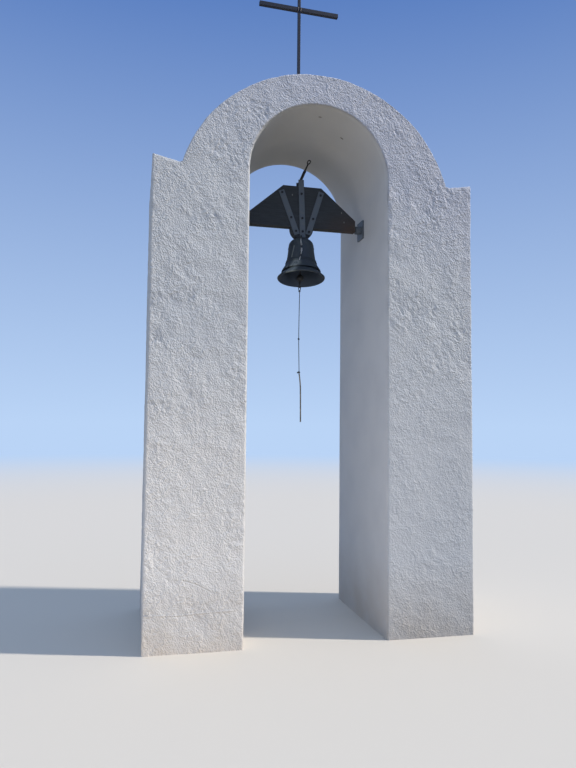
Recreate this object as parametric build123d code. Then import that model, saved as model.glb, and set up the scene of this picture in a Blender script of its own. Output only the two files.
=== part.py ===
from build123d import *
from math import cos, radians, sin, sqrt
import os

# A free-standing bell arch: two plastered masonry piers joined by a round
# arch, an iron cross on its crown, and a bell that hangs in the opening from
# a wooden headstock with iron straps.
# Millimetres. X runs across the opening, the front faces -Y, Z is up, and
# the origin is the middle of the base at the level where the piers stand.

os.makedirs("parts", exist_ok=True)

# General clearances
SEAT = 0.3                  # loose seat between two separate pieces
RUN = 0.06                  # radial running clearance of a pin in its bore

# Masonry
WIDTH = 2400.0              # across both piers
DEPTH = 1170.0              # front to back
SPRING_Z = 3342.0           # where the soffit starts to curve
LEFT_SHOULDER_RISE = 44.0   # outer edge of a shoulder over its foot at the arch
RIGHT_SHOULDER_RISE = 29.0
RING_RADIUS = 1041.0        # outer curve of the arch
RING_CENTRE_DROP = 290.0    # centre of that curve, below the springing
ARRIS = 14.0                # plaster rounding of the long edges

# Cross on the crown
CROSS_X = -17.0
CROSS_Y = 60.0
CROSS_TURN = 2.0            # degrees, its right arm to the back
CROSS_BAR = 22.0            # upright, square bar
CROSS_ARM_BAR = 31.0        # arms, square bar
CROSS_ARM_OVER_CROWN = 889.0    # centre line of the arms
CROSS_ARM_REACH = 338.0     # from the upright's centre line to an arm's end
CROSS_HEAD = 300.0          # upright above the arms' centre line
CROSS_SOCKET = 160.0        # depth of the upright's socket in the crown

# Swing axis and its bearings; what hangs on it is placed by its height over
# the axis
AXIS_Z = 3132.0
GUDGEON_D = 22.0
GUDGEON_IN_WOOD = 90.0
BEARING_D = 64.0
BEARING_LENGTH = 47.0
BEARING_WEB = 8.0           # closed end of a bearing, against the plate
PLATE_WIDTH = 134.0
PLATE_HEIGHT = 149.0
PLATE_THICK = 12.0
PLATE_Y = 9.0               # the plates sit a little behind the axis
PLATE_CORNER = 4.0
BEARING_EDGE = 4.0          # chamfer at a bearing's open end
GUDGEON_END_PLAY = 2.0      # between a gudgeon's tip and the closed end

# Headstock
HANG_X = 3.0                # the headstock hangs this far right of the middle
HEAD_LENGTH = 898.0
HEAD_END_PLAY = 10.0        # between an end and its bearing; the opening follows from it
HEAD_THICK = 65.0
HEAD_BOTTOM = -23.0
HEAD_HEIGHT = 339.0
HEAD_END_HEIGHT = 90.0
HEAD_TOP_LENGTH = 317.0
HEAD_EDGE = 3.0             # worn edges of the timber
BLOCK_RADIUS = 92.0         # round yoke block under the headstock
BLOCK_CENTRE = -27.0
BLOCK_FOOT = -112.0         # flat at its foot, where the bell hangs

# Straps: the centre line of each from its top to its foot, as X from the
# hanging line and height over the axis
STRAP_WIDTH = 45.0
STRAP_THICK = 6.0
STRAP_ENDS = {
    "left": ((-176.0, 272.0), (-42.0, -80.0)),
    "centre": ((-13.0, 369.0), (5.0, -102.0)),
    "right": ((158.0, 280.0), (49.0, -76.0)),
}
BOLT_D = 10.0
BOLT_HEAD_AF = 17.0
BOLT_HEAD_THICK = 6.5
BOLT_ROWS = (253.0, 54.0, -54.0)
BOLT_TAIL = 9.0             # thread past the nut

# Lever
LEVER_D = 12.0
LEVER_RISE = 24.0           # degrees above the level
LEVER_X = -11.0             # where it crosses the front strap
LEVER_REACH = 209.0         # from the front strap to the far end of the eye
LEVER_TURN = 0.10           # it points slightly to the right
LEVER_EYE_LENGTH = 46.0     # oval eye, over its wire
LEVER_EYE_WIDTH = 30.0
LEVER_EYE_WIRE = 7.0

# Bell: radius and depth below the seat, in the bell's own upright frame
BELL_TILT = 8.4             # out of square on its bolt, mouth to the front
BELL_LEAN = 1.6             # and a little to the left
BELL_BOSS_R = 38.0
BELL_BOSS_HEIGHT = 12.0
BELL_HEIGHT = 338.0
BELL_LIP_R = 190.0
BELL_OUTER = ((76.0, 17.0), (95.0, 39.0), (102.5, 78.0), (108.0, 130.0),
              (116.0, 184.0), (132.0, 233.0), (155.0, 281.0))
BELL_WALL = 11.0
BELL_BOW = 19.0             # thickest part of the wall, where the clapper strikes
BELL_CROWN_THICK = 22.0
BELL_LIP_EDGE = 9.0         # rounding under the lip
BELL_BANDS = ((82.0, 3.5), (196.0, 5.0), (211.0, 4.0))

# Crown bolt, staple and clapper
CROWN_BOLT_D = 16.0
CROWN_BOLT_IN_BLOCK = 44.0
CROWN_NUT_AF = 30.0
CROWN_NUT_THICK = 13.0
FORK_BASE_THICK = 8.0
PIVOT_DEPTH = 72.0          # clapper pivot below the seat, on the bell's axis
CLAPPER_PIN_D = 10.0
CLAPPER_EYE_D = 24.0
CLAPPER_EYE_WIDE = 12.0
CHEEK_THICK = 5.0
CHEEK_GAP = 1.5             # beside the clapper's eye
CHEEK_INSET = 2.0           # the cheeks are this much narrower than the eye on each side
PIN_PROUD = 2.0             # clapper pin past each cheek
CLAPPER_ROD_D = 12.0
CLAPPER_BALL_D = 56.0
CLAPPER_BALL_DROP = 245.0   # pivot to the middle of the ball
CLAPPER_DROP = 326.0        # pivot to the end of the tail
CLAPPER_LUG_THICK = 7.0
CLAPPER_LUG_D = 20.0
ROPE_HOLE_D = 10.0

# Rope
ROPE_D = 6.0
ROPE_GRIP_D = 11.0
LOOP_HALF = 8.0             # half the width of the loop through the lug
LOOP_DROP = 36.0            # from the lug's hole to the knot under the loop
LOOP_BEND = 3.4             # where the cord turns over the lug
LOOP_NECK_BEND = 6.0
KNOT_D = 17.0
ROPE_KNOTS = ((-12.0, -921.0), (-6.0, -1187.0))   # X, and height over the axis
ROPE_GRIP = ((6.0, -1264.0), (9.0, -1583.0))      # below the last knot
ROPE_GRIP_BEND = 200.0

# Chain
CHAIN_WIRE = 5.0
CHAIN_PITCH = 26.0          # inside length of a link
CHAIN_WIDTH = 18.0          # outside width of a link
CHAIN_LINKS = 9
CHAIN_STAPLE = (-7.0, -90.0)     # X of the staple on the strap's foot, and its height over the axis
CHAIN_STAPLE_R = 9.0
CHAIN_TURN = 14.0           # degrees left of the front
CHAIN_TWIST = 15.0          # degrees by which each of the first links turns on the last
# Over the bell's head and down its flank: distance from the bell's axis and
# height over its seat
CHAIN_ROUTE = ((60.0, 0.0), (88.0, -8.0), (107.0, -36.0), (115.0, -78.0), (119.0, -130.0),
               (128.0, -184.0), (137.0, -214.0), (150.0, -245.0))


def solid_of(shape):
    """The one solid of a shape made of a single piece."""
    return shape.solids()[0] if len(shape.solids()) == 1 else shape


def keep(shape, node):
    shape.label = node
    export_step(shape, f"parts/{node}.step")


def bar(start, end, radius):
    """A round bar between two points."""
    run = Vector(*end) - Vector(*start)
    plane = Plane(origin=start, z_dir=run.normalized())
    return plane * Cylinder(radius, run.length, align=(Align.CENTER, Align.CENTER, Align.MIN))


def oval_ring(length, width, wire):
    """A link or eye of round wire, flat on the XY plane and long in X, by its
    outside length and width."""
    outline = SlotCenterToCenter(length - width, width - wire).wire()
    return sweep(Plane(origin=outline @ 0, z_dir=outline % 0) * Circle(wire / 2), path=outline)


def hexagon(across_flats, thickness, plane):
    """A hexagonal head or nut that stands on a plane."""
    return plane * extrude(RegularPolygon(across_flats / 2, 6, major_radius=False), thickness)


# Masonry: one plastered mass, drawn as its outline and cut where the arch
# springs from the piers
half = WIDTH / 2
gap = HEAD_LENGTH / 2 + HEAD_END_PLAY + BEARING_LENGTH + PLATE_THICK
ring_foot = sqrt(RING_RADIUS ** 2 - RING_CENTRE_DROP ** 2)
crown_z = SPRING_Z - RING_CENTRE_DROP + RING_RADIUS


def masonry_outline():
    with BuildSketch(Plane.XZ) as outline:
        with BuildLine():
            Polyline((-gap, SPRING_Z), (-gap, 0), (-half, 0), (-half, SPRING_Z + LEFT_SHOULDER_RISE),
                     (-ring_foot, SPRING_Z))
            ThreePointArc((-ring_foot, SPRING_Z), (0, crown_z), (ring_foot, SPRING_Z))
            Polyline((ring_foot, SPRING_Z), (half, SPRING_Z + RIGHT_SHOULDER_RISE), (half, 0), (gap, 0),
                     (gap, SPRING_Z))
            ThreePointArc((gap, SPRING_Z), (0, SPRING_Z + gap), (-gap, SPRING_Z))
        make_face()
    return outline.sketch


def masonry():
    mass = extrude(masonry_outline(), DEPTH / 2, both=True)
    faces = mass.faces().filter_by(Axis.Y)
    edges = [e for face in faces for e in face.edges() if e.center().Z > SEAT]
    return fillet(edges, ARRIS)


mass = masonry()
arch_zone = Pos(0, 0, SPRING_Z) * Box(2 * ring_foot, DEPTH * 2, 2 * RING_RADIUS,
                                      align=(Align.CENTER, Align.CENTER, Align.MIN))
arch = mass & arch_zone
piers = mass - arch_zone
socket_side = CROSS_BAR + 2 * SEAT
socket_floor = crown_z - CROSS_SOCKET
cross_place = Pos(CROSS_X, CROSS_Y, 0) * Rot(0, 0, CROSS_TURN)
arch -= cross_place * Pos(0, 0, socket_floor) * Box(socket_side, socket_side, 2 * CROSS_SOCKET,
                                                    align=(Align.CENTER, Align.CENTER, Align.MIN))
keep(solid_of(arch), "arch")
for pier in piers.solids():
    keep(pier, "left_pier" if pier.center().X < 0 else "right_pier")

# Cross: an upright in its socket, with two arms welded to its sides
arm_z = crown_z + CROSS_ARM_OVER_CROWN
upright_floor = socket_floor + SEAT
keep(cross_place * Pos(0, 0, upright_floor)
     * Box(CROSS_BAR, CROSS_BAR, arm_z + CROSS_HEAD - upright_floor,
           align=(Align.CENTER, Align.CENTER, Align.MIN)),
     "cross_upright")
arm_length = CROSS_ARM_REACH - CROSS_BAR / 2
for side, name in ((-1, "left"), (1, "right")):
    middle = side * (CROSS_BAR / 2 + arm_length / 2)
    keep(cross_place * Pos(middle, 0, arm_z) * Box(arm_length, CROSS_ARM_BAR, CROSS_ARM_BAR),
         f"cross_{name}_arm")

# Bearings: a plate on each jamb carries a round housing for the gudgeon
plate_face = gap - PLATE_THICK
bearing_mouth = plate_face - BEARING_LENGTH
head_end = {-1: HANG_X - HEAD_LENGTH / 2, 1: HANG_X + HEAD_LENGTH / 2}
gudgeon_tip = plate_face - BEARING_WEB - GUDGEON_END_PLAY
for side, name in ((-1, "left"), (1, "right")):
    plate = Pos(side * (gap - PLATE_THICK / 2), PLATE_Y, AXIS_Z) * Box(PLATE_THICK, PLATE_WIDTH, PLATE_HEIGHT)
    keep(fillet(plate.edges().filter_by(Axis.X), PLATE_CORNER), f"{name}_wall_plate")
    housing = bar((side * plate_face, 0, AXIS_Z), (side * bearing_mouth, 0, AXIS_Z), BEARING_D / 2)
    housing = chamfer(housing.edges().sort_by(Axis.X)[0 if side > 0 else -1], BEARING_EDGE)
    housing -= bar((side * (plate_face - BEARING_WEB), 0, AXIS_Z),
                   (side * (bearing_mouth - SEAT), 0, AXIS_Z), GUDGEON_D / 2 + RUN)
    keep(housing, f"{name}_bearing")
    inner = head_end[side] - side * GUDGEON_IN_WOOD
    keep(bar((inner + side * SEAT, 0, AXIS_Z), (side * gudgeon_tip, 0, AXIS_Z), GUDGEON_D / 2),
         f"{name}_gudgeon")


# Straps and their bolts
strap_ends = {name: [(HANG_X + x, AXIS_Z + height) for x, height in ends] for name, ends in STRAP_ENDS.items()}


def strap_x(name, z):
    """X of a strap's centre line at a height."""
    (x0, z0), (x1, z1) = strap_ends[name]
    return x0 + (x1 - x0) * (z0 - z) / (z0 - z1)


def bolt_places(name):
    return [(strap_x(name, AXIS_Z + row), AXIS_Z + row) for row in BOLT_ROWS]


def strap(name, face_y, outward):
    """A flat bar along its centre line, lying on a face of the headstock."""
    (x0, z0), (x1, z1) = strap_ends[name]
    run = Vector(x1 - x0, 0, z1 - z0)
    middle = Vector((x0 + x1) / 2, face_y + outward * STRAP_THICK / 2, (z0 + z1) / 2)
    flat = Plane(origin=middle, x_dir=run.normalized(), z_dir=(0, outward, 0))
    shape = flat * Box(run.length, STRAP_WIDTH, STRAP_THICK)
    for x, z in bolt_places(name):
        shape -= Pos(x, face_y, z) * Rot(90, 0, 0) * Cylinder(BOLT_D / 2 + SEAT, 4 * STRAP_THICK)
    return shape


face = HEAD_THICK / 2
outer_face = face + STRAP_THICK
for name in STRAP_ENDS:
    keep(strap(name, -face, -1), f"{name}_front_strap")
    keep(strap(name, face, 1), f"{name}_rear_strap")
    bolts = []
    for x, z in bolt_places(name):
        shank = bar((x, -outer_face, z), (x, outer_face + BOLT_HEAD_THICK + BOLT_TAIL, z), BOLT_D / 2)
        head = hexagon(BOLT_HEAD_AF, BOLT_HEAD_THICK, Plane(origin=(x, -outer_face, z), z_dir=(0, -1, 0)))
        nut = hexagon(BOLT_HEAD_AF, BOLT_HEAD_THICK, Plane(origin=(x, outer_face, z), z_dir=(0, 1, 0)))
        bolts.append(solid_of(shank + head + nut))
    keep(Compound(children=bolts), f"{name}_strap_bolts")


# Headstock: a timber with a flat top and sloping shoulders, bored for the
# gudgeons and the strap bolts
head_bottom = AXIS_Z + HEAD_BOTTOM
block_foot = AXIS_Z + BLOCK_FOOT


def drilled(shape):
    for name in STRAP_ENDS:
        for x, z in bolt_places(name):
            shape -= Pos(x, 0, z) * Rot(90, 0, 0) * Cylinder(BOLT_D / 2 + SEAT, 2 * HEAD_THICK)
    return shape


def headstock():
    top_z = head_bottom + HEAD_HEIGHT
    end_z = head_bottom + HEAD_END_HEIGHT
    long_half = HEAD_LENGTH / 2
    top_half = HEAD_TOP_LENGTH / 2
    outline = Polyline((-long_half, head_bottom), (-long_half, end_z), (-top_half, top_z),
                       (top_half, top_z), (long_half, end_z), (long_half, head_bottom), close=True)
    timber = Pos(HANG_X, 0, 0) * extrude(Plane.XZ * make_face(Plane.XY * outline), HEAD_THICK / 2, both=True)
    faces = timber.faces().filter_by(Axis.Y)
    timber = chamfer([e for f in faces for e in f.edges()], HEAD_EDGE)
    for side in (-1, 1):
        timber -= bar((head_end[side] - side * GUDGEON_IN_WOOD, 0, AXIS_Z),
                      (head_end[side] + side * SEAT, 0, AXIS_Z), GUDGEON_D / 2 + SEAT)
    return drilled(timber)


def yoke_block():
    """The block between the headstock and the bell, the lower half of a disc."""
    disc = Pos(HANG_X, 0, AXIS_Z + BLOCK_CENTRE) * Rot(90, 0, 0) * Cylinder(BLOCK_RADIUS, HEAD_THICK)
    disc = chamfer(disc.edges(), HEAD_EDGE)
    height = head_bottom - SEAT - block_foot
    disc &= Pos(HANG_X, 0, block_foot) * Box(3 * BLOCK_RADIUS, 2 * HEAD_THICK, height,
                                             align=(Align.CENTER, Align.CENTER, Align.MIN))
    disc -= bell_place(bar((0, 0, -CROWN_BOLT_IN_BLOCK / 2), (0, 0, CROWN_BOLT_IN_BLOCK), CROWN_BOLT_D / 2 + SEAT))
    return drilled(disc)


# Bell, in its own upright frame with the seat at its origin, then leaned
# about the seat so that its mouth stands forward
bell_seat = Pos(HANG_X, 0, block_foot) * Rot(0, BELL_LEAN, 0)
bell_frame = bell_seat * Rot(-BELL_TILT, 0, 0)


def bell_place(shape):
    return bell_frame * shape


inner_top = -BELL_CROWN_THICK - BELL_BOSS_HEIGHT


def bell():
    """A revolved wall: a thin waist, a thick bow where the clapper strikes
    and a rounded lip, under a boss that seats on the yoke block."""
    lip_bottom = -BELL_HEIGHT
    lip_inside = BELL_LIP_R - BELL_LIP_EDGE
    lip_side = lip_bottom + BELL_LIP_EDGE
    bevel = BELL_LIP_EDGE * (1 - cos(radians(45)))
    boss_top = 3 * BELL_BOSS_HEIGHT
    flare = Vector(0.72, -0.69)
    bow_r, bow_depth = BELL_OUTER[-1]
    throat_r, throat_depth = BELL_OUTER[-2]
    shoulder_r = BELL_OUTER[1][0]
    with BuildSketch(Plane.XZ) as profile:
        with BuildLine():
            Polyline((0, inner_top), (0, boss_top), (BELL_BOSS_R, boss_top), (BELL_BOSS_R, -BELL_BOSS_HEIGHT))
            flank = [(BELL_BOSS_R, -BELL_BOSS_HEIGHT)] + [(r, -s) for r, s in BELL_OUTER] + [(BELL_LIP_R, lip_side)]
            Spline(*flank, tangents=((1, 0), flare))
            ThreePointArc((BELL_LIP_R, lip_side), (BELL_LIP_R - bevel, lip_bottom + bevel), (lip_inside, lip_bottom))
            inside = [(lip_inside, lip_bottom), (bow_r - BELL_BOW * flare.X, -bow_depth + BELL_BOW * flare.Y),
                      (throat_r - 1.2 * BELL_WALL, -throat_depth)]
            inside += [(r - BELL_WALL, -s) for r, s in reversed(BELL_OUTER[2:-2])]
            inside.append((shoulder_r - 2.4 * BELL_WALL, inner_top))
            Spline(*inside, tangents=(-flare, (-1, 0.12)))
            Line(inside[-1], (0, inner_top))
        make_face()
    body = revolve(profile.sketch, Axis.Z)
    for depth, proud in BELL_BANDS:
        body += bell_band(depth, proud)
    body -= Cylinder(CROWN_BOLT_D / 2 + SEAT, 2 * (boss_top + BELL_CROWN_THICK))
    # The tilted boss is filed flat against the yoke block
    above = Pos(HANG_X, 0, block_foot - SEAT) * Box(4 * BELL_BOSS_R, 4 * BELL_BOSS_R, 2 * boss_top,
                                                    align=(Align.CENTER, Align.CENTER, Align.MIN))
    return bell_place(body) - above


def bell_radius(depth):
    """Outer radius of the bell at a depth below its seat, between the given points."""
    points = ((BELL_BOSS_R, BELL_BOSS_HEIGHT),) + BELL_OUTER + ((BELL_LIP_R, BELL_HEIGHT),)
    for (r0, s0), (r1, s1) in zip(points, points[1:]):
        if s0 <= depth <= s1:
            return r0 + (r1 - r0) * (depth - s0) / (s1 - s0)
    return BELL_LIP_R


def bell_band(depth, proud):
    """A raised half-round ring cast on the bell."""
    section = Pos(bell_radius(depth) - proud * 0.35, 0, -depth) * Rot(90, 0, 0) * Circle(proud)
    return revolve(section, Axis.Z)


keep(solid_of(headstock()), "headstock")
keep(solid_of(yoke_block()), "yoke_block")
keep(solid_of(bell()), "bell")


# Crown bolt with its nut inside the bell, and the fork that carries the clapper
nut_foot = inner_top - CROWN_NUT_THICK
fork_top = nut_foot - FORK_BASE_THICK / 2
bolt = bar((0, 0, fork_top), (0, 0, CROWN_BOLT_IN_BLOCK - SEAT), CROWN_BOLT_D / 2)
nut = hexagon(CROWN_NUT_AF, CROWN_NUT_THICK - SEAT, Plane(origin=(0, 0, nut_foot)))
fork_width = CLAPPER_EYE_WIDE + 2 * CHEEK_GAP + 2 * CHEEK_THICK
fork = Pos(0, 0, fork_top) * Box(fork_width, CLAPPER_EYE_D, FORK_BASE_THICK)
cheek_radius = CLAPPER_EYE_D / 2 - CHEEK_INSET
for side in (-1, 1):
    x = side * (fork_width - CHEEK_THICK) / 2
    cheek = Pos(x, 0, -PIVOT_DEPTH) * Box(CHEEK_THICK, 2 * cheek_radius, PIVOT_DEPTH + fork_top,
                                          align=(Align.CENTER, Align.CENTER, Align.MIN))
    cheek += Pos(x, 0, -PIVOT_DEPTH) * Rot(0, 90, 0) * Cylinder(cheek_radius, CHEEK_THICK)
    fork += cheek
fork += Pos(0, 0, -PIVOT_DEPTH) * Rot(0, 90, 0) * Cylinder(CLAPPER_PIN_D / 2, fork_width + 2 * PIN_PROUD)
keep(solid_of(bell_place(bolt + nut + fork)), "crown_bolt")


# Clapper, hanging plumb from the pin in the fork: its frame has the pivot at
# the origin
clapper_frame = bell_seat * Pos(0, -PIVOT_DEPTH * sin(radians(BELL_TILT)), -PIVOT_DEPTH * cos(radians(BELL_TILT)))


def clapper():
    eye = Rot(0, 90, 0) * Cylinder(CLAPPER_EYE_D / 2, CLAPPER_EYE_WIDE)
    lug_z = -CLAPPER_DROP + CLAPPER_LUG_D / 2
    # The rope rests on the bottom of the hole in the lug
    hole_z = lug_z + (ROPE_HOLE_D - ROPE_D) / 2 - SEAT
    shape = eye + bar((0, 0, 0), (0, 0, lug_z), CLAPPER_ROD_D / 2)
    shape += Pos(0, 0, -CLAPPER_BALL_DROP) * Sphere(CLAPPER_BALL_D / 2)
    shape += Pos(0, 0, lug_z) * Rot(0, 90, 0) * Cylinder(CLAPPER_LUG_D / 2, CLAPPER_LUG_THICK)
    shape -= Rot(0, 90, 0) * Cylinder(CLAPPER_PIN_D / 2 + RUN, 2 * CLAPPER_EYE_WIDE)
    # The rod's end is flattened on both sides to the lug
    for way in (-1, 1):
        shape -= (Pos(way * (CLAPPER_LUG_THICK + CLAPPER_ROD_D) / 2, 0, lug_z)
                  * Box(CLAPPER_ROD_D, 2 * CLAPPER_LUG_D, CLAPPER_LUG_D))
    shape -= Pos(0, 0, hole_z) * Rot(0, 90, 0) * Cylinder(ROPE_HOLE_D / 2, 2 * CLAPPER_LUG_D)
    return clapper_frame * shape


keep(solid_of(clapper()), "clapper")

# Rope: a loop through the lug, a knot, the cord, two more knots and a grip
rope_frame = clapper_frame * Pos(0, 0, -CLAPPER_DROP + CLAPPER_LUG_D / 2)
rope_top = rope_frame.position
neck = -2 * LOOP_HALF
loop_path = FilletPolyline((-LOOP_HALF / 2, 0, -LOOP_DROP), (-LOOP_HALF, 0, neck), (-LOOP_HALF, 0, 0),
                           (LOOP_HALF, 0, 0), (LOOP_HALF, 0, neck), (LOOP_HALF / 2, 0, -LOOP_DROP),
                           radius=(LOOP_NECK_BEND, LOOP_BEND, LOOP_BEND, LOOP_NECK_BEND))
loop = sweep(Plane(origin=loop_path @ 0, z_dir=loop_path % 0) * Circle(ROPE_D / 2), path=loop_path)
loop += Pos(0, 0, -LOOP_DROP) * Sphere(KNOT_D / 2)
keep(solid_of(rope_frame * loop), "rope_loop")


def rope_point(x, z):
    return Vector(x, rope_top.Y, z)


def rope_run(points, diameter, radii, start_gap, end_gap, node):
    """A tube of straight runs and arcs, cut back from the knots at its ends."""
    points = [rope_point(*p) for p in points]
    points[0] += (points[1] - points[0]).normalized() * start_gap
    points[-1] += (points[-2] - points[-1]).normalized() * end_gap
    if radii:
        path = FilletPolyline(*points, radius=radii)
    else:
        path = Line(*points)
    keep(sweep(Plane(origin=path @ 0, z_dir=path % 0) * Circle(diameter / 2), path=path), node)
    print(node, "length", round(path.length, 1), "radii", radii)


knot_seat = KNOT_D / 2 + SEAT
first_knot = (rope_top.X, rope_top.Z - LOOP_DROP)
knots = [(x, AXIS_Z + height) for x, height in ROPE_KNOTS]
grip = [(x, AXIS_Z + height) for x, height in ROPE_GRIP]
rope_run([first_knot, knots[0]], ROPE_D, None, knot_seat, knot_seat, "rope_upper")
rope_run(knots, ROPE_D, None, knot_seat, knot_seat, "rope_middle")
rope_run([knots[1], *grip], ROPE_GRIP_D, (ROPE_GRIP_BEND,), knot_seat, 0, "rope_grip")
for place, name in zip(knots, ("upper", "lower")):
    keep(Pos(*rope_point(*place)) * Sphere(KNOT_D / 2), f"rope_{name}_knot")


# Lever: a bar welded over the front centre strap and against the rear one,
# with an oval eye at its free end, lying flat along the bar
def lever():
    rise = radians(LEVER_RISE)
    (x0, z0), (x1, z1) = strap_ends["centre"]
    edge_rise = (x1 - x0) / (z0 - z1)
    strap_top = z0 + edge_rise * (HANG_X + LEVER_X + LEVER_D / 2 - x0)
    over = Vector(HANG_X + LEVER_X, -face, strap_top + (LEVER_D / 2 + SEAT) / cos(rise))
    along = Vector(LEVER_TURN, -cos(rise), sin(rise)).normalized()
    heel = over + along * ((2 * face - SEAT - LEVER_D / 2 * sin(rise)) / along.Y)
    eye = over + along * (LEVER_REACH - LEVER_EYE_LENGTH / 2)
    neck = eye - along * ((LEVER_EYE_LENGTH - LEVER_EYE_WIRE) / 2)
    flat = Plane(origin=eye, x_dir=along, z_dir=along.cross(Vector(1, 0, 0)))
    return bar(heel, neck, LEVER_D / 2) + flat * oval_ring(LEVER_EYE_LENGTH, LEVER_EYE_WIDTH, LEVER_EYE_WIRE)


keep(solid_of(lever()), "bell_lever")


# Chain: a staple on the foot of the centre strap, and links that lie over
# the front of the bell, each turned a quarter against the next
staple_x = CHAIN_STAPLE[0]
staple_z = AXIS_Z + CHAIN_STAPLE[1]
staple = Pos(staple_x, -outer_face, staple_z) * Torus(CHAIN_STAPLE_R, CHAIN_WIRE / 2)
staple_room = 4 * CHAIN_STAPLE_R
in_front = Pos(staple_x, -outer_face, staple_z) * Box(staple_room, staple_room, staple_room,
                                                      align=(Align.CENTER, Align.MAX, Align.CENTER))
keep(solid_of(staple & in_front), "chain_staple")


def chain_joints(path, count, spacing, hooked):
    """Places along a path that lie one link's spacing apart. The first is
    hooked over the path's start, and so lies that much before it."""
    share = 0.0
    joints = [path @ share]
    for step in [spacing - hooked] + [spacing] * (count - 1):
        low, high = share, 1.0
        for _ in range(30):
            middle = (low + high) / 2
            if ((path @ middle) - joints[-1]).length < step:
                low = middle
            else:
                high = middle
        share = low
        joints.append(path @ share)
    joints[0] += (joints[0] - joints[1]).normalized() * hooked
    return joints


def chain():
    """Links between points of a route that starts over the staple's wire."""
    link = oval_ring(CHAIN_PITCH + 2 * CHAIN_WIRE, CHAIN_WIDTH, CHAIN_WIRE)
    turn = Rot(0, 0, -CHAIN_TURN)
    wire = (bell_frame.inverse() * Pos(staple_x, -outer_face - CHAIN_STAPLE_R, staple_z)).position
    route = [(turn * Pos(0, -r, z)).position for r, z in CHAIN_ROUTE]
    joints = chain_joints(Spline(wire, *route), CHAIN_LINKS, CHAIN_PITCH - 2 * SEAT, CHAIN_WIRE / 2)
    side = (turn * Pos(1, 0, 0)).position
    links = []
    for index, (start, end) in enumerate(zip(joints, joints[1:])):
        run = (end - start).normalized()
        plane = Plane(origin=(start + end) / 2, x_dir=run, z_dir=run.cross(side))
        quarter = 90 * ((index + 1) % 2) + CHAIN_TWIST * min(index, 3)
        links.append(bell_place(plane * Rot(quarter, 0, 0) * link))
    return Compound(children=links)


keep(chain(), "bell_chain")
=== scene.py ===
import bpy
import numpy as np
from mathutils import Matrix, Vector


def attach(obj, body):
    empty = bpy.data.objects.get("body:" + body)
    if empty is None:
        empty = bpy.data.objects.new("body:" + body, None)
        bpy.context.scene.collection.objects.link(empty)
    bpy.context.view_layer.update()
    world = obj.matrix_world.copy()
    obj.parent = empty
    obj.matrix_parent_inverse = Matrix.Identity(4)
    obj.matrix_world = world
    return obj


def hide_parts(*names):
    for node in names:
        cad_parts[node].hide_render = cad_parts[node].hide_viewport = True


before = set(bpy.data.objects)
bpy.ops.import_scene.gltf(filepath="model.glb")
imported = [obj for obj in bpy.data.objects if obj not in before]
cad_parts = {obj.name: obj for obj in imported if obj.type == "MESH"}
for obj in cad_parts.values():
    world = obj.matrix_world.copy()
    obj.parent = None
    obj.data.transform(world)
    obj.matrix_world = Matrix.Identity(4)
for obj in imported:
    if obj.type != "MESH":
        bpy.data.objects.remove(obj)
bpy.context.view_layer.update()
scene = bpy.context.scene


# Camera: held at eye height a little left of the arch, turned towards it and
# tipped up, with the angle of view of a wide phone lens.
EYE = Vector((-1.265, -5.097, 1.530))
YAW, PITCH, ROLL = np.radians((12.95, 3.50, 0.59))
LENS = 30.915

level_ahead = Vector((np.sin(YAW), np.cos(YAW), 0))
level_right = Vector((np.cos(YAW), -np.sin(YAW), 0))
ahead = np.cos(PITCH) * level_ahead + np.sin(PITCH) * Vector((0, 0, 1))
above = np.cos(PITCH) * Vector((0, 0, 1)) - np.sin(PITCH) * level_ahead
right = np.cos(ROLL) * level_right + np.sin(ROLL) * above
above = np.cos(ROLL) * above - np.sin(ROLL) * level_right
camera = bpy.data.objects.new("camera", bpy.data.cameras.new("camera"))
camera.data.lens = LENS
camera.data.clip_end = 200
camera.matrix_world = Matrix.Translation(EYE) @ Matrix((right, above, -ahead)).transposed().to_4x4()
scene.collection.objects.link(camera)
scene.camera = camera


# Piers and arch: brick masonry under lime plaster, thrown and dragged outside
# and floated smooth on the jambs and the soffit. The plaster is one skin in
# three pieces, which meet where the arch springs.
HALF_WIDTH = 1.200
HALF_OPENING = 0.518
HALF_DEPTH = 0.585
SPRING = 3.342                  # height at which the arch springs from the piers
LEFT_SHOULDER_RISE = 0.044
RIGHT_SHOULDER_RISE = 0.029
RING_RADIUS = 1.041
RING_CENTRE = SPRING - 0.290
ARRIS = 0.014
ARRIS_THROW = 2.4               # how fast the throw gains weight over an arris from a jamb

# The throw was dragged down to the right.
DRAG_LEAN = np.radians(28)
CRUMB_CELL = np.array([0.012, 0.012, 0.021])
HOLLOW_CELL = np.array([0.070, 0.070, 0.200])
PATCH_CELL, SMALL_PATCH_CELL = 0.15, 0.06
BEND_CELL, BEND = 0.045, 0.010
WAVE_CELL = 0.32
CRUMB_HEIGHT, HOLLOW_DEPTH, WAVE_HEIGHT = 0.0023, 0.0024, 0.0010
SETBACK, LEAST_SETBACK = 0.0051, 0.0020     # of the throw behind the nominal face

# The throw grows heavier above HEAVY_FROM and, over the width HEAVY_FADE, to
# the right of HEAVY_LEFT. Coats of whitewash soften it below COATS_TOP, most
# from COATS_FADE under it.
HEAVY_THROW, HEAVY_FROM = 0.40, 2.3
HEAVY_LEFT, HEAVY_FADE = -0.2, 0.6
COATS_TOP, COATS_FADE = 2.25, 0.95
RIGHT_FOOT_COATS = 0.55

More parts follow.
